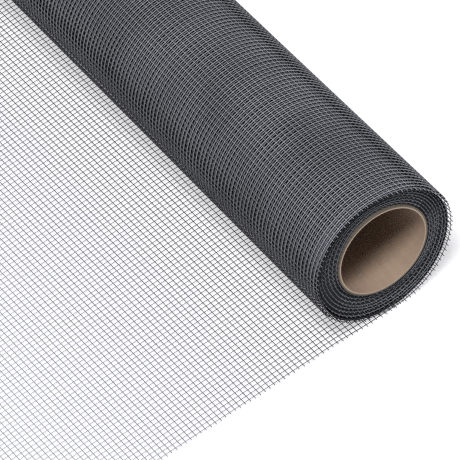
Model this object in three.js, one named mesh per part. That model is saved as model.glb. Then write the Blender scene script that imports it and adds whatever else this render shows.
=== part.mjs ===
// A roll of fiberglass insect screen, wound on a thin paper core, with its loose end lying flat.
// Millimetres, +Z up. X runs along the roll, the loose end lies towards -Y, and the origin is on
// the floor, under the roll's axis and halfway along it.

import * as THREE from 'three';

// Driving dimensions
const screenWidth = 610; // the cloth's width, which is the roll's length
const coreBore = 25.4; // inside diameter of the paper core
const coreWall = 0.8;
const rollRadius = 20.7; // of the outermost turn's outer face
const clothThickness = 1; // the turns that one sheet stands for, no thinner than this
const contactGap = 0.3; // between pieces that rest on each other
const coreOffset = new THREE.Vector2(0.8, 1.2); // the turns lie slack, so the core is off the roll's axis
const coreInset = 0.8; // the core ends this far inside the edge of the cloth
const flatSpotHalf = 3.7; // half the width on which the roll stands
const looseReach = 150; // from under the axis to the cut end of the cloth

// The winding draws in from the outermost turn on the side away from the loose end
const slack = { depth: 0.6, at: -18, spread: 62 }; // millimetres, then degrees
const turnEnd = 237; // degrees round the roll at which the outermost turn joins the others

// How far the ends of the turns lie in from the cloth's edge, from the core (0) to the outside (1).
// Each row is one group of turns: where it begins, its inset, and how much its edge waves.
const turnGroups = [
  { from: 0, inset: 1.4, wave: 0.15 },
  { from: 0.16, inset: 2.2, wave: 0.3 },
  { from: 0.42, inset: 1.9, wave: 0.4 },
  { from: 0.65, inset: 1.3, wave: 0.4 },
  { from: 0.85, inset: 0.6, wave: 0.25 },
];
const groupStep = 0.03; // share of the winding over which one group steps to the next

// Slow unevenness of the wound outline: swells round the roll, their height and their phase
const outlineSwells = [
  { count: 2, height: 0.12, phase: 40 },
  { count: 3, height: 0.1, phase: 110 },
  { count: 5, height: 0.05, phase: 15 },
];

const roundSteps = 96; // facets round the roll and the core
const arcStep = 5; // degrees between the points of the outermost turn

const coreRadius = coreBore / 2 + coreWall;
const turnInner = rollRadius - clothThickness;
const woundRadius = turnInner - contactGap;
const dip = turnInner - Math.sqrt(turnInner ** 2 - flatSpotHalf ** 2); // height cut off by the flat spot
const rollAxis = new THREE.Vector2(0, clothThickness + turnInner - dip);
const coreAxis = rollAxis.clone().add(coreOffset);
const woundFloor = clothThickness + contactGap;

const paper = new THREE.MeshStandardMaterial({ color: 0x9c836a, roughness: 0.9, metalness: 0 });
const woundScreen = new THREE.MeshStandardMaterial({ color: 0x3d4045, roughness: 0.62, metalness: 0 });
const looseScreen = new THREE.MeshStandardMaterial({ color: 0x55585d, roughness: 0.6, metalness: 0 });

const radians = THREE.MathUtils.degToRad;

// A point of the section at an angle round an axis, measured from +Y towards +Z
function around(axis, radius, angle) {
  return new THREE.Vector2(radius * Math.cos(angle), radius * Math.sin(angle)).add(axis);
}

// How far the winding draws in at an angle: a smooth hollow that fades out at its spread
function hollowAt(angle) {
  const turned = THREE.MathUtils.euclideanModulo(angle - radians(slack.at) + Math.PI, 2 * Math.PI) - Math.PI;
  const t = Math.min(1, Math.abs(turned) / radians(slack.spread));
  return (slack.depth * (1 + Math.cos(Math.PI * t))) / 2;
}

function woundOutline(angle) {
  let radius = woundRadius - hollowAt(angle);
  for (const swell of outlineSwells) {
    radius -= swell.height * (1 + Math.sin(swell.count * angle + radians(swell.phase)));
  }
  const point = around(rollAxis, radius, angle);
  point.y = Math.max(point.y, woundFloor);
  return point;
}

// A closed ring of solid: each row of the profile gives its share from the inner face to the outer
// face, its side along X, and its inset there. Rows are joined round the roll and back to the first.
function ringSolid(profile, innerPoint, outerPoint) {
  const positions = [];
  const indices = [];
  for (const row of profile) {
    for (let i = 0; i < roundSteps; i++) {
      const angle = (2 * Math.PI * i) / roundSteps;
      const point = innerPoint(angle).lerp(outerPoint(angle), row.share);
      const ripple = row.wave * Math.sin(row.ripples * angle + row.phase);
      positions.push(row.side * (screenWidth / 2 - row.inset + ripple), point.x, point.y);
    }
  }
  profile.forEach((row, j) => {
    const next = (j + 1) % profile.length;
    for (let i = 0; i < roundSteps; i++) {
      const k = (i + 1) % roundSteps;
      const a = j * roundSteps + i;
      const b = j * roundSteps + k;
      const c = next * roundSteps + i;
      const d = next * roundSteps + k;
      indices.push(a, b, d, a, d, c);
    }
  });
  const geometry = new THREE.BufferGeometry();
  geometry.setAttribute('position', new THREE.Float32BufferAttribute(positions, 3));
  geometry.setIndex(indices);
  geometry.computeVertexNormals();
  return geometry;
}

// The stepped end of the winding, from the core outwards, as rows of the ring's profile
function steppedEnd(side) {
  const rows = [];
  turnGroups.forEach((group, g) => {
    const last = g === turnGroups.length - 1;
    const until = last ? 1 : turnGroups[g + 1].from - groupStep;
    const row = { side, inset: group.inset, wave: group.wave, ripples: 2 + g, phase: g * side };
    rows.push({ ...row, share: group.from }, { ...row, share: until });
  });
  return rows;
}

function woundRoll() {
  const innerPoint = (angle) => around(coreAxis, coreRadius + contactGap, angle);
  const profile = [...steppedEnd(-1), ...steppedEnd(1).reverse()];
  return ringSolid(profile, innerPoint, woundOutline);
}

function coreTube() {
  const innerPoint = (angle) => around(coreAxis, coreBore / 2, angle);
  const outerPoint = (angle) => around(coreAxis, coreRadius, angle);
  const square = { inset: coreInset, wave: 0, ripples: 0, phase: 0 };
  const profile = [
    { ...square, side: -1, share: 0 },
    { ...square, side: -1, share: 1 },
    { ...square, side: 1, share: 1 },
    { ...square, side: 1, share: 0 },
  ];
  return ringSolid(profile, innerPoint, outerPoint);
}

// The cloth's path seen from the near end: flat from its cut end to under the roll, then round it.
// It is drawn on the face that looks into the roll and thickened outwards.
function looseEnd() {
  const inner = [new THREE.Vector2(-looseReach, clothThickness)];
  const outer = [new THREE.Vector2(-looseReach, 0)];
  const start = -90 + THREE.MathUtils.radToDeg(Math.asin(flatSpotHalf / turnInner));
  const steps = Math.round((turnEnd - start) / arcStep);
  for (let i = 0; i <= steps; i++) {
    const angle = radians(start + ((turnEnd - start) * i) / steps);
    inner.push(around(rollAxis, turnInner, angle));
    const outside = around(rollAxis, rollRadius, angle);
    outside.y = Math.max(outside.y, 0);
    outer.push(outside);
  }
  const shape = new THREE.Shape([...outer, ...inner.reverse()]);
  const geometry = new THREE.ExtrudeGeometry(shape, { depth: screenWidth, bevelEnabled: false, steps: 1 });
  // the shape is drawn on Y and Z and pushed along X
  geometry.applyMatrix4(new THREE.Matrix4().set(0, 0, 1, -screenWidth / 2, 1, 0, 0, 0, 0, 1, 0, 0, 0, 0, 0, 1));
  return geometry;
}

const roll = new THREE.Group();

function addPiece(name, geometry, material) {
  const mesh = new THREE.Mesh(geometry, material);
  mesh.name = name;
  roll.add(mesh);
}

addPiece('core_tube', coreTube(), paper);
addPiece('wound_roll', woundRoll(), woundScreen);
addPiece('loose_end', looseEnd(), looseScreen);

export default roll;
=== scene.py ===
# A roll of fiberglass insect screen: every yarn of the outer turns is real geometry
import bpy
import math
from mathutils import Matrix, Vector


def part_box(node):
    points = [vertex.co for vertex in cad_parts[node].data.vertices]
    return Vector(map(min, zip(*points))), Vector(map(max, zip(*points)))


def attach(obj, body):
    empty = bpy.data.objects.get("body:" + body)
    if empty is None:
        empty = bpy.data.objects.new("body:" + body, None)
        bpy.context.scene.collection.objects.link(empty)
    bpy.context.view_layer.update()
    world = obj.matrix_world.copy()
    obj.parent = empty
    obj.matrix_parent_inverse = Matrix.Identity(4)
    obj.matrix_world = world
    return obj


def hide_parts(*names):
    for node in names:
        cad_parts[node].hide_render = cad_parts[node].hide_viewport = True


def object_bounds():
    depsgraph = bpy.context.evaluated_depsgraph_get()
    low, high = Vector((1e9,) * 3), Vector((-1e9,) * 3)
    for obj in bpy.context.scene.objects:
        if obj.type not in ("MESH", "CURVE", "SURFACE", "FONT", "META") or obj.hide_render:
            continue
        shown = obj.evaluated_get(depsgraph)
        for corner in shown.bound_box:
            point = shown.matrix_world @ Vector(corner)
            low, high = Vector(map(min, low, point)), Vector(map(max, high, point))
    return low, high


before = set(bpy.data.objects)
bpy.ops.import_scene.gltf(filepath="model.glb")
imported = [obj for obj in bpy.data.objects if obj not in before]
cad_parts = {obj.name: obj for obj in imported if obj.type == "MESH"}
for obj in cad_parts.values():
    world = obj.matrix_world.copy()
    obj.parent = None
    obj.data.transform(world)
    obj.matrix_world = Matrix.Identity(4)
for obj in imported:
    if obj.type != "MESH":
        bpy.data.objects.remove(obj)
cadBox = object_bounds()
mm = 0.001

# the core's axis (y, z) and radius, half the roll's length and the reach of the loose end, to 0.01 mm
coreLow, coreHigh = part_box("core_tube")
coreAxis = [round((coreLow[i] + coreHigh[i]) / 2 / mm, 2) for i in (1, 2)]
coreRadius = round((coreHigh.y - coreLow.y) / 2 / mm, 2)
halfLength, cutReach = round(cadBox[1].x / mm, 2), round(-cadBox[0].y / mm, 2)

# how the cloth is wound, seen along the roll from its near end, in millimetres and degrees
winding = {
    "axis": [round(coreAxis[0] - 0.8, 2), round(coreAxis[1] - 1.2, 2)],  # the core lies off it
    "radius": 20.45,                              # to the outermost turn's yarns
    "coreAxis": coreAxis, "coreRadius": coreRadius, "coreGap": 0.25,
    "turns": 8,                                   # inner turns between the outermost one and the core
    "tightStep": 0.09,                            # share of the way to the core of each of the first two
    "firstGap": 0.42, "drawnIn": 0.15,            # from the outermost turn to the next
    "hollows": (                                  # where the outermost turn stands off
        {"depth": 0.25, "at": -18, "spread": 62},
        {"depth": 0.3, "at": 199, "spread": 30},
    ),
    "swells": (                                   # slow unevenness of the inner turns
        {"count": 2, "height": 0.1, "phase": 0.7},
        {"count": 3, "height": 0.08, "phase": 1.9},
    ),
    "slips": (0, 0.07, 1.14, 1.14),               # how far each turn has slipped in along the roll
    "slipOver": 0.15, "slipWave": 0.06, "slipPhase": 1.1,  # over this much of a turn, and a slow wave
    # towards the near end the outer turns stand off on the side behind, and fadedAt is a cosine
    "flare": {"height": 0.85, "at": 3, "fadedAt": 0.25, "from": 215, "to": 305, "rootRadius": 15},
    "facing": 109,                                # the side where the turns' yarns are set to interleave
    "looseReach": cutReach - 0.8, "clothHeight": 0.16, "layer": 0.36,
    "blendFrom": 0.6, "blendTo": 1.04,            # the turns over which the outermost one goes under
    "steps": 44, "measureSteps": 200,             # points in a turn, as it is made and as it is measured
}
cloth = {
    "edge": halfLength - 0.9, "alongPitch": 25.4 / 18, "acrossPitch": 25.4 / 17,
    "alongRadius": 0.108, "acrossRadius": 0.108, "sides": 3,
    "stub": 0.75, "ragged": 0.4, "acrossSteps": 20, "sway": 0.22, "wander": 0.07,
    "alongWaves": 70.0, "acrossWaves": 12.0,      # scale of the noise that bends the yarns
    "rowsApart": 50.0,                            # how far apart, at most, two crosswise yarns read it
}


def around(centre, radius, degrees):
    a = math.radians(degrees)
    return Vector((centre[0] + radius * math.cos(a), centre[1] + radius * math.sin(a)))


def between(low, high, value):
    return min(1.0, max(0.0, (value - low) / (high - low)))


def smooth(low, high, value):
    t = between(low, high, value)
    return t * t * (3 - 2 * t)


def turnedFrom(at, degrees):
    return abs((degrees - at + 180) % 360 - 180)


def hollowAt(degrees):
    depth = 0
    for h in winding["hollows"]:
        t = min(1.0, turnedFrom(h["at"], degrees) / h["spread"])
        depth += h["depth"] * (1 + math.cos(math.pi * t)) / 2
    return depth


def slipAt(turn):
    slips = winding["slips"]
    whole = min(max(int(turn), 1), len(slips) - 1)
    slipped = smooth(0.0, winding["slipOver"], turn - whole)
    slip = slips[whole - 1] + (slips[whole] - slips[whole - 1]) * slipped
    return slip + winding["slipWave"] * math.sin(2 * math.pi * turn + winding["slipPhase"])


def lengthOf(points):
    return sum((b - a).length for a, b in zip(points, points[1:]))


def shareInwards(inward):
    # the first two turns inside are wound tight, and the others spread evenly to the core
    tight = winding["tightStep"]
    if inward < 2:
        return inward * tight
    return 2 * tight + (inward - 2) * (1 - 2 * tight) / (winding["turns"] - 2)


def windingPoint(turn):
    # turn 0 starts under the roll, goes up its far side and over the top
    degrees = -90 + 360 * turn
    angle = math.radians(degrees)
    swell = sum(s["height"] * math.sin(s["count"] * angle + s["phase"]) for s in winding["swells"])
    inside = winding["radius"] - winding["firstGap"] - hollowAt(degrees) + swell - winding["drawnIn"]
    outer = around(winding["axis"], winding["radius"], degrees)
    wound = around(winding["axis"], inside, degrees)
    core = around(winding["coreAxis"], winding["coreRadius"] + winding["coreGap"], degrees)
    wound = wound.lerp(core, shareInwards(max(0.0, turn - 1)))
    point = outer.lerp(wound, smooth(winding["blendFrom"], winding["blendTo"], turn))
    under = math.floor(turn + 0.25)  # layers that lie below, counted a quarter turn before the bottom
    return Vector((point.x, max(point.y, winding["clothHeight"] + winding["layer"] * under)))


def windingPath(firstTurn, lastTurn, stepsPerTurn):
    count = max(2, round((lastTurn - firstTurn) * stepsPerTurn))
    return [windingPoint(firstTurn + (lastTurn - firstTurn) * i / count) for i in range(count + 1)]


def flareAt(x, degrees, radius):
    f = winding["flare"]
    towards = between(f["from"], f["to"], x)
    side = between(f["fadedAt"], 1.0, math.cos(math.radians(degrees - f["at"])))
    root = between(f["rootRadius"], winding["radius"], radius)
    return f["height"] * towards * side * root


def addObject(name, data):
    obj = bpy.data.objects.new(name, data)
    bpy.context.scene.collection.objects.link(obj)
    return obj


def polyline(name, points):
    mesh = bpy.data.meshes.new(name)
    places = [[c * mm for c in p] for p in points]
    mesh.from_pydata(places, [(i, i + 1) for i in range(len(points) - 1)], [])
    return addObject(name, mesh)


# a small helper for building node trees: each node is made with its settings and its inputs
class Tree:
    def __init__(self, group):
        self.nodes, self.links = group.nodes, group.links

    def add(self, kind, inputs=None, **settings):
        node = self.nodes.new(kind)
        for key, value in settings.items():
            setattr(node, key, value)
        for key, value in (inputs or {}).items():
            socket = node.inputs[key]
            if isinstance(value, bpy.types.NodeSocket):
                self.links.new(value, socket)
            else:
                socket.default_value = value
        return node

    def maths(self, operation, a, b=None):
        inputs = {0: a} if b is None else {0: a, 1: b}
        return self.add("ShaderNodeMath", inputs, operation=operation).outputs[0]

    def vectorMaths(self, operation, a, b=None):
        inputs = {0: a} if b is None else {0: a, 1: b}
        node = self.add("ShaderNodeVectorMath", inputs, operation=operation)
        return node.outputs["Value"] if operation in ("LENGTH", "DOT_PRODUCT") else node.outputs[0]

    def scaled(self, vector, factor):
        return self.add("ShaderNodeVectorMath", {0: vector, "Scale": factor}, operation="SCALE").outputs[0]

    def mapped(self, value, low, high, toLow=0.0, toHigh=1.0):
        inputs = {"Value": value, 1: low, 2: high, 3: toLow, 4: toHigh}
        return self.add("ShaderNodeMapRange", inputs).outputs[0]

    def mixed(self, share, first, second):
        return self.add("ShaderNodeMix", {0: share, 6: first, 7: second}, data_type="RGBA").outputs[2]

    def noise(self, place, scale, detail):
        return self.add("ShaderNodeTexNoise", {"Vector": place, "Scale": scale, "Detail": detail}).outputs[0]

    def part(self, vector, index):
        return self.add("ShaderNodeSeparateXYZ", {0: vector}).outputs[index]


def clothTree():
    group = bpy.data.node_groups.new("wovenScreen", "GeometryNodeTree")
    face = group.interface
    face.new_socket("Geometry", in_out="INPUT", socket_type="NodeSocketGeometry")
    for name in ("Edge Low", "Edge High", "Along Pitch", "Across Pitch", "Along Radius", "Across Radius",
                 "Stub", "Ragged", "Sway", "Wander"):
        face.new_socket(name, in_out="INPUT", socket_type="NodeSocketFloat")
    for name in ("Sides", "Across Steps", "Seed"):
        face.new_socket(name, in_out="INPUT", socket_type="NodeSocketInt")
    for name in ("Along Material", "Across Material"):
        face.new_socket(name, in_out="INPUT", socket_type="NodeSocketMaterial")
    face.new_socket("Geometry", in_out="OUTPUT", socket_type="NodeSocketGeometry")
    t = Tree(group)
    g = t.add("NodeGroupInput").outputs
    curve = t.add("GeometryNodeMeshToCurve", {"Mesh": g["Geometry"]}).outputs["Curve"]
    place = t.add("GeometryNodeInputPosition").outputs[0]

    def vector(x=0.0, y=0.0, z=0.0):
        return t.add("ShaderNodeCombineXYZ", {0: x, 1: y, 2: z}).outputs[0]

    def tube(path, radius):
        ring = t.add("GeometryNodeCurvePrimitiveCircle", {"Resolution": g["Sides"], "Radius": radius})
        return t.add("GeometryNodeCurveToMesh", {"Curve": path, "Profile Curve": ring.outputs["Curve"],
                                                 "Fill Caps": True}).outputs["Mesh"]

    def chance(low, high, seedStep):
        seed = t.maths("ADD", g["Seed"], seedStep)
        return t.add("FunctionNodeRandomValue", {2: low, 3: high, 8: seed}, data_type="FLOAT").outputs[1]

    def bendAt(spot, scale):
        return t.maths("MULTIPLY", t.maths("SUBTRACT", t.noise(spot, scale, 1.0), 0.5), g["Sway"])

    def moved(geometry, offset):
        return t.add("GeometryNodeSetPosition", {"Geometry": geometry, "Offset": offset}).outputs[0]

    def repeated(points, piece, scale=(1, 1, 1)):
        copies = t.add("GeometryNodeInstanceOnPoints", {"Points": points, "Instance": piece, "Scale": scale})
        return t.add("GeometryNodeRealizeInstances", {"Geometry": copies.outputs[0]}).outputs[0]

    def stored(geometry, name, value, kind):
        return t.add("GeometryNodeStoreNamedAttribute", {"Geometry": geometry, "Name": name, "Value": value},
                     data_type=kind, domain="POINT").outputs[0]

    def read(name, kind):
        return t.add("GeometryNodeInputNamedAttribute", {"Name": name}, data_type=kind).outputs[0]

    def finished(geometry, material):
        return t.add("GeometryNodeSetMaterial", {"Geometry": geometry, "Material": material}).outputs[0]

    span = t.maths("SUBTRACT", g["Edge High"], g["Edge Low"])
    gaps = t.maths("ROUND", t.maths("DIVIDE", span, g["Along Pitch"]))

    # lengthwise yarns: the path's tube, repeated across the cloth
    rows = t.add("GeometryNodeMeshLine", {
        "Count": t.maths("ADD", gaps, 1.0), "Start Location": vector(g["Edge Low"]),
        "Offset": vector(t.maths("DIVIDE", span, gaps))}, mode="OFFSET").outputs[0]
    strayed = moved(rows, vector(chance(t.maths("MULTIPLY", g["Wander"], -1.0), g["Wander"], 1)))
    along = repeated(strayed, tube(curve, g["Along Radius"]))
    along = finished(moved(along, vector(bendAt(place, cloth["alongWaves"]))), g["Along Material"])

    # crosswise yarns: one straight yarn at each step along the path, its ends uneven
    points = t.add("GeometryNodeCurveToPoints", {"Curve": curve, "Length": g["Across Pitch"]}, mode="LENGTH")
    kept = stored(points.outputs["Points"], "alongCloth", points.outputs["Tangent"], "FLOAT_VECTOR")
    kept = stored(kept, "yarnChance", chance(0.0, cloth["rowsApart"], 2), "FLOAT")
    middle = t.maths("MULTIPLY", t.maths("ADD", g["Edge High"], g["Edge Low"]), 0.5)
    uneven, short = t.maths("MULTIPLY", g["Ragged"], 0.5), t.maths("MULTIPLY", g["Ragged"], -0.5)
    kept = moved(kept, vector(t.maths("ADD", middle, chance(short, uneven, 3))))
    line = t.add("GeometryNodeCurvePrimitiveLine", {"Start": (-0.5, 0, 0), "End": (0.5, 0, 0)}).outputs[0]
    straight = t.add("GeometryNodeResampleCurve", {"Curve": line, "Count": g["Across Steps"]}).outputs[0]
    length = t.maths("ADD", t.maths("ADD", span, t.maths("MULTIPLY", g["Stub"], 2.0)), chance(short, 0.0, 4))
    across = repeated(kept, tube(straight, g["Across Radius"]), vector(length, 1.0, 1.0))
    x = t.part(place, 0)
    spot = vector(t.maths("MULTIPLY", x, cloth["acrossWaves"]), read("yarnChance", "FLOAT"))
    across = moved(across, t.scaled(read("alongCloth", "FLOAT_VECTOR"), bendAt(spot, 1.0)))
    across = finished(across, g["Across Material"])

    both = t.add("GeometryNodeJoinGeometry")
    t.links.new(across, both.inputs[0])
    t.links.new(along, both.inputs[0])

    # the same flare as flareAt
    f, axis, facing = winding["flare"], winding["axis"], math.radians(winding["flare"]["at"])
    fromAxis = t.vectorMaths("SUBTRACT", place, (0, axis[0] * mm, axis[1] * mm))
    fromAxis = t.vectorMaths("MULTIPLY", fromAxis, (0, 1, 1))
    outwards = t.vectorMaths("NORMALIZE", fromAxis)
    turned = t.vectorMaths("DOT_PRODUCT", outwards, (0, math.cos(facing), math.sin(facing)))
    side = t.mapped(turned, f["fadedAt"], 1.0)
    towards = t.mapped(x, f["from"] * mm, f["to"] * mm)
    root = t.mapped(t.vectorMaths("LENGTH", fromAxis), f["rootRadius"] * mm, winding["radius"] * mm)
    share = t.maths("MULTIPLY", side, towards)
    height = t.maths("MULTIPLY", share, t.maths("MULTIPLY", root, f["height"] * mm))
    flared = moved(both.outputs[0], t.scaled(outwards, height))
    shaded = t.add("GeometryNodeSetShadeSmooth", {"Geometry": flared}).outputs[0]
    t.links.new(shaded, t.add("NodeGroupOutput").inputs[0])
    return group


def weave(name, path, tree, sizes, materials, seed):
    # sizes are in millimetres
    obj = polyline(name, path)
    modifier = obj.modifiers.new("weave", "NODES")
    modifier.node_group = tree
    values = {
        "Edge Low": sizes["low"] * mm, "Edge High": sizes["high"] * mm,
        "Along Pitch": cloth["alongPitch"] * mm, "Across Pitch": cloth["acrossPitch"] * mm,
        "Along Radius": cloth["alongRadius"] * mm, "Across Radius": cloth["acrossRadius"] * mm,
        "Stub": sizes["stub"] * mm, "Ragged": cloth["ragged"] * mm, "Sway": sizes["sway"] * mm,
        "Wander": cloth["wander"] * mm, "Sides": cloth["sides"],
        "Across Steps": sizes["steps"], "Seed": seed,
        "Along Material": materials[0], "Across Material": materials[1],
    }
    for item in tree.interface.items_tree:
        if item.in_out == "INPUT" and item.name in values:
            modifier[item.identifier] = values[item.name]
    bpy.context.view_layer.update()
    made = bpy.data.meshes.new_from_object(obj.evaluated_get(bpy.context.evaluated_depsgraph_get()))
    obj.modifiers.remove(modifier)
    for attribute in ("alongCloth", "yarnChance"):
        if attribute in made.attributes:
            made.attributes.remove(made.attributes[attribute])
    obj.data = made
    made.name = name
    print(name, "has", sum(len(p.vertices) - 2 for p in made.polygons), "triangles")
    return obj


def newMaterial(name):
    material = bpy.data.materials.new(name)
    material.use_nodes = True
    return material, material.node_tree.nodes["Principled BSDF"]


yarnLook = {
    "tint": (1.0, 1.02, 1.15), "roughness": (0.34, 0.5), "grain": 900.0,
    "patches": 55.0, "patchEdges": (0.35, 0.65), "patchTones": (0.75, 1.0),
    "paintedLightFrom": 0.012, "paintedLightTo": 0.036,           # heights in metres over which a yarn is painted lighter, painted light on the roll
    "paintedGlareFrom": -0.022, "paintedGlareTo": -0.09,          # and how far out on the loose end it is painted pale, a painted glare
}
yarnTones = {                                     # low down, far out on the loose end where the pale tone is painted glare, and on top where the light tone is painted light
    "alongYarn": (0.03, 0.43, 0.35), "acrossYarn": (0.02, 0.29, 0.085),
    # the second turn's tones are painted light where the first turn shades it, and the third turn's near
    # black is painted shade
    "secondAlongPaintedLight": (0.03, 0.03, 0.27), "secondAcrossPaintedLight": (0.03, 0.03, 0.33),
    "thirdYarnPaintedShade": (0.012, 0.012, 0.015), "endYarnPaintedShade": (0.17, 0.17, 0.11),
    "innerYarnPaintedShade": (0.012, 0.012, 0.012), "innerEdgePaintedShade": (0.035, 0.035, 0.035),
}


def yarnMaterial(name):
    dark, pale, light = ([tone * c for c in yarnLook["tint"]] + [1] for tone in yarnTones[name])
    material, shader = newMaterial(name)
    t = Tree(material.node_tree)
    place = t.add("ShaderNodeTexCoord").outputs["Object"]
    patches = t.noise(place, yarnLook["patches"], 3.0)
    varied = t.mapped(patches, *yarnLook["patchEdges"], *yarnLook["patchTones"])
    # painted light: the higher a yarn lies, the more it is coloured towards its light tone
    paintedLightShare = t.mapped(t.part(place, 2), yarnLook["paintedLightFrom"], yarnLook["paintedLightTo"])
    # painted glare: far out on the loose end a yarn is coloured towards its pale tone
    paintedGlareShare = t.mapped(t.part(place, 1), yarnLook["paintedGlareFrom"], yarnLook["paintedGlareTo"])
    colour = t.mixed(t.maths("MULTIPLY", varied, paintedLightShare), t.mixed(paintedGlareShare, dark, pale), light)
    t.links.new(colour, shader.inputs["Base Color"])
    rough = t.mapped(t.noise(place, yarnLook["grain"], 2.0), 0.0, 1.0, *yarnLook["roughness"])
    t.links.new(rough, shader.inputs["Roughness"])
    return material


paperLook = {
    "dark": (0.295, 0.21, 0.152, 1), "light": (0.33, 0.238, 0.175, 1), "roughness": 0.85,
    "edge": (0.46, 0.34, 0.25, 1), "paintedRimShade": (0.1, 0.085, 0.065, 1),
    "wall": 0.8, "cutOver": (0.02, 0.08), "paintedRimShadeOver": (0.12, 0.5),  # mm, the last two out from the bore
    "fibre": (150, 700, 700), "fibreEdges": (0.3, 0.7), "bump": 0.25, "bumpDepth": 0.0002,
}


def paperMaterial():
    material, shader = newMaterial("corePaper")
    t = Tree(material.node_tree)
    place = t.add("ShaderNodeTexCoord").outputs["Object"]
    fibre = t.add("ShaderNodeMapping", {"Vector": place, "Scale": paperLook["fibre"]}).outputs[0]
    grain = t.noise(fibre, 1.0, 6.0)
    paper = t.mixed(t.mapped(grain, *paperLook["fibreEdges"]), paperLook["dark"], paperLook["light"])
    # the cut rim is pale at the bore, and further out it is painted dark, painted shade from the wound cloth
    # that overhangs it
    fromAxis = t.vectorMaths("SUBTRACT", place, [0] + [c * mm for c in winding["coreAxis"]])
    radius = t.vectorMaths("LENGTH", t.vectorMaths("MULTIPLY", fromAxis, (0, 1, 1)))
    bore = winding["coreRadius"] - paperLook["wall"]
    cut, paintedRimShade = (t.mapped(radius, *[(bore + out) * mm for out in paperLook[over]])
                 for over in ("cutOver", "paintedRimShadeOver"))
    rim = t.mixed(paintedRimShade, paperLook["edge"], paperLook["paintedRimShade"])
    t.links.new(t.mixed(cut, paper, rim), shader.inputs["Base Color"])
    bump = t.add("ShaderNodeBump", {"Height": grain, "Strength": paperLook["bump"],
                                    "Distance": paperLook["bumpDepth"]}).outputs[0]
    t.links.new(bump, shader.inputs["Normal"])
    shader.inputs["Roughness"].default_value = paperLook["roughness"]
    return material


finishes = {name: yarnMaterial(name) for name in yarnTones}
tree = clothTree()

print("the loose end and the outermost turn, one sheet of cloth")
looseEnd = {
    "steps": 15, "crowding": 1.6, "starts": 6.0,  # points along it, closer together near the roll
    "lift": 0.75, "liftPeak": 20.0, "liftEnd": 200.0,  # it lies highest at the peak
    "statedArea": 0.5, "seed": 11,
}


def loosePoint(i):
    away = (1 - i / looseEnd["steps"]) ** looseEnd["crowding"]
    reach = looseEnd["starts"] + (winding["looseReach"] - looseEnd["starts"]) * away
    rise = smooth(looseEnd["starts"], looseEnd["liftPeak"], reach)
    fall = smooth(looseEnd["liftEnd"], looseEnd["liftPeak"], reach)
    return Vector((-reach, winding["clothHeight"] + looseEnd["lift"] * min(rise, fall)))


flat = [loosePoint(i) for i in range(looseEnd["steps"])]
outerTurn = windingPath(0.0, 1.0, winding["steps"])
whole = {"low": -cloth["edge"], "high": cloth["edge"], "steps": cloth["acrossSteps"],
         "sway": cloth["sway"], "stub": cloth["stub"]}
facingShare = (winding["facing"] + 90) / 360
lengthToFacing = lengthOf(flat + windingPath(0.0, facingShare, winding["measureSteps"]))
screen = weave("loose_end_cloth", [(0, p.x, p.y) for p in flat + outerTurn], tree, whole,
               (finishes["alongYarn"], finishes["acrossYarn"]), looseEnd["seed"])
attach(screen, "root")
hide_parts("loose_end")

print("the next turns, whose yarns show between those of the first")
# the second turn's yarns carry painted light and the third turn's painted shade
nextTurns = (                                     # each some whole gaps shorter at the far end
    {"name": "second_turn", "number": 1, "shorter": 2, "seed": 21,
     "along": "secondAlongPaintedLight", "across": "secondAcrossPaintedLight"},
    {"name": "third_turn", "number": 2, "shorter": 4, "seed": 22,
     "along": "thirdYarnPaintedShade", "across": "thirdYarnPaintedShade"},
)
for inner in nextTurns:
    # it starts where its crosswise yarns come out half a gap from those of the turn outside it
    number, gap, steps = inner["number"], cloth["acrossPitch"], winding["steps"]
    own = lengthOf(windingPath(number, number + facingShare, winding["measureSteps"]))
    early = ((lengthToFacing + gap * number / 2 - own) % gap) / (2 * math.pi * winding["radius"])
    points = windingPath(number - early, number + 1 - early, steps)
    turnPath = [(-slipAt(number + i / steps), p.x, p.y) for i, p in enumerate(points)]
    # shorter at the far end, so that it slips no further than the edge there
    sizes = {**whole, "low": whole["low"] + inner["shorter"] * cloth["alongPitch"]}
    woven = (finishes[inner["along"]], finishes[inner["across"]])
    turn = weave(inner["name"], turnPath, tree, sizes, woven, inner["seed"])
    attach(turn, "root")

print("the dark mass of the turns further in, which backs the outer ones")
innerMass = {
    "below": 1.35, "tight": 1.2, "tightAt": -50, "tightSpread": (150, 85),  # closer in below and behind
    "around": 96, "lowest": 0.75, "coreGap": 0.1,
    # how far it reaches along the roll, from its outside (0) to the core (1)
    "profile": ((0.0, 303.9), (0.03, 303.9), (0.08, 302.5), (0.85, 302.6), (0.94, 303.4), (1.0, 303.5)),
    "endFace": 0.3,                               # a face is an end if it looks along the roll by more
}


def massPoint(degrees, share, x):
    turned = turnedFrom(innerMass["tightAt"], degrees)
    below = winding["firstGap"] + hollowAt(degrees) + innerMass["below"]
    below -= innerMass["tight"] * smooth(*innerMass["tightSpread"], turned)
    outer = around(winding["axis"], winding["radius"] - below, degrees)
    outer.y = max(outer.y, innerMass["lowest"])
    core = around(winding["coreAxis"], winding["coreRadius"] + innerMass["coreGap"], degrees)
    point = outer.lerp(core, share)
    outwards = point - Vector(winding["axis"])
    return point + outwards.normalized() * flareAt(x, degrees, outwards.length)


# a ring whose ends are dished between its rim and the core
farRings = [(share, -x) for share, x in reversed(innerMass["profile"])]
rings = farRings + [(0.0, winding["flare"]["from"])] + list(innerMass["profile"])
count = innerMass["around"]
corners = []
for share, x in rings:
    for i in range(count):
        p = massPoint(360 * i / count, share, x)
        corners.append((x * mm, p.x * mm, p.y * mm))
faces = []
for k in range(len(rings)):
    step = ((k + 1) % len(rings) - k) * count
    for i in range(count):
        a, b = k * count + i, k * count + (i + 1) % count
        faces.append((a, b, b + step, a + step))
massMesh = bpy.data.meshes.new("inner_turns")
massMesh.from_pydata(corners, [], faces)
mass = addObject("inner_turns", massMesh)
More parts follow.
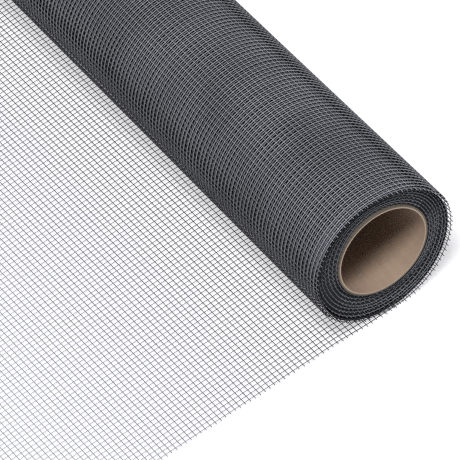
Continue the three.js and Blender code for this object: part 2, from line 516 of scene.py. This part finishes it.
# the mass is coloured near black, darker than the yarns: charcoal cloth and painted shade of the deep turns,
# its end faces a little less dark
for name in ("innerYarnPaintedShade", "innerEdgePaintedShade"):
    massMesh.materials.append(finishes[name])
    shader = finishes[name].node_tree.nodes["Principled BSDF"]
    shader.inputs["Specular IOR Level"].default_value = 0.0
for polygon in massMesh.polygons:
    polygon.material_index = int(abs(polygon.normal.x) > innerMass["endFace"])
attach(mass, "root")
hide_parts("wound_roll")

print("the edges of the inner turns at both ends")
endBand = {
    "depth": 2.9, "sway": 0.1, "stub": 0.6, "forward": 0.6, "steps": 40, "acrossSteps": 2, "seed": 40,
    "insets": (0.6, 0.9, 1.4, 1.1, 0.7),          # from the outside to the core
    "recess": 0.35, "recessAt": 140,              # further in on the side away from the floor
    "waves": ({"height": 0.22, "count": 2, "drift": 0.6}, {"height": 0.16, "count": 3.1, "drift": 1}),
}
firstInner, lastInner = 2.0, winding["turns"] + 1.0


def insetAt(share):
    values = endBand["insets"]
    place = min(max(share, 0.0), 0.999) * (len(values) - 1)
    i = int(place)
    return values[i] + (values[i + 1] - values[i]) * (place - i)


def bandPoint(turn, side):
    angle = 2 * math.pi * turn
    wave = sum(w["height"] * math.sin(w["count"] * angle + w["drift"] * turn) for w in endBand["waves"])
    recess = endBand["recess"] * (1 + math.cos(angle - math.radians(90 + endBand["recessAt"]))) / 2
    x = cloth["edge"] - insetAt(turn / lastInner) - recess + endBand["forward"] + wave
    p = windingPoint(turn)
    return side * x, p.x, p.y


for side, name in ((1, "near_end_turns"), (-1, "far_end_turns")):
    steps = round((lastInner - firstInner) * endBand["steps"])
    band = [bandPoint(firstInner + (lastInner - firstInner) * i / steps, side) for i in range(steps + 1)]
    low, high = (-endBand["depth"], 0.0) if side > 0 else (0.0, endBand["depth"])
    sizes = {"low": low, "high": high, "steps": endBand["acrossSteps"],
             "sway": endBand["sway"], "stub": endBand["stub"]}
    # the inner turns' edges have their own tone, lighter low down and darker on top: painted shade
    woven = (finishes["endYarnPaintedShade"], finishes["endYarnPaintedShade"])
    edges = weave(name, band, tree, sizes, woven, endBand["seed"] + side)
    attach(edges, "root")

print("camera and light")
photoView = {
    "looksAt": (254.4, -16.3, 0.0), "distance": 1526.9, "azimuth": 66.96, "elevation": 48.33, "roll": -15.2,
    "lens": 469.6, "clip": (0.1, 50),
}
studio = {
    "floorReach": 15.0, "floorTone": (0.4, 0.4, 0.405, 1), "floorRoughness": 0.9,
    "glow": (0.97, 0.97, 1.0, 1), "glowStrength": 0.63,
    "sky": (0.95, 0.96, 1.0, 1), "skyStrength": 0.25, "filterWidth": 1.25,
    # both stand on the camera's side of the roll, which hides most of its shadow
    "lights": (
        {"name": "keyLight", "place": (0.95, -0.34, 2.0), "aim": (0.22, 0, 0), "size": 0.55, "power": 44},
        {"name": "topLight", "place": (0.1, -0.35, 2.3), "aim": (0.2, 0, 0), "size": 0.8, "power": 8},
    ),
}


def placeCamera():
    a, e = math.radians(photoView["azimuth"]), math.radians(photoView["elevation"])
    back = Vector((math.sin(a) * math.cos(e), -math.cos(a) * math.cos(e), math.sin(e)))
    data = bpy.data.cameras.new("photoCamera")
    data.lens = photoView["lens"]
    data.clip_start, data.clip_end = photoView["clip"]
    camera = addObject("photoCamera", data)
    roll = Matrix.Rotation(math.radians(photoView["roll"]), 3, "Z")
    turned = (-back).to_track_quat("-Z", "Y").to_matrix() @ roll
    spot = Vector(photoView["looksAt"]) * mm + back * photoView["distance"] * mm
    camera.matrix_world = Matrix.Translation(spot) @ turned.to_4x4()
    bpy.context.scene.camera = camera


def layFloor():
    mesh = bpy.data.meshes.new("floor")
    r = studio["floorReach"]
    mesh.from_pydata([(-r, -r, 0), (r, -r, 0), (r, r, 0), (-r, r, 0)], [], [(0, 1, 2, 3)])
    floor = addObject("floor", mesh)
    material, shader = newMaterial("paleFloor")
    material.cycles.emission_sampling = "NONE"
    for socket, value in (("Base Color", studio["floorTone"]), ("Roughness", studio["floorRoughness"]),
                          ("Emission Color", studio["glow"]), ("Emission Strength", studio["glowStrength"])):
        shader.inputs[socket].default_value = value
    mesh.materials.append(material)


def softLight(name, place, aim, size, power):
    data = bpy.data.lights.new(name, "AREA")
    data.shape, data.size, data.energy = "SQUARE", size, power
    light = addObject(name, data)
    light.location = place
    light.rotation_euler = (Vector(aim) - Vector(place)).to_track_quat("-Z", "Y").to_euler()


placeCamera()
layFloor()
for light in studio["lights"]:
    softLight(**light)
world = bpy.data.worlds.new("studio")
world.use_nodes = True
background = world.node_tree.nodes["Background"]
background.inputs["Color"].default_value = studio["sky"]
background.inputs["Strength"].default_value = studio["skyStrength"]
scene = bpy.context.scene
scene.world = world
scene.view_settings.view_transform = "Standard"
scene.cycles.filter_width = studio["filterWidth"]
scene.cycles.use_denoising = False                # it smears yarns that are thinner than a pixel

print("the paper core keeps its own shape and gets its finish")
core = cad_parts["core_tube"]
core.data.materials.clear()
core.data.materials.append(paperMaterial())
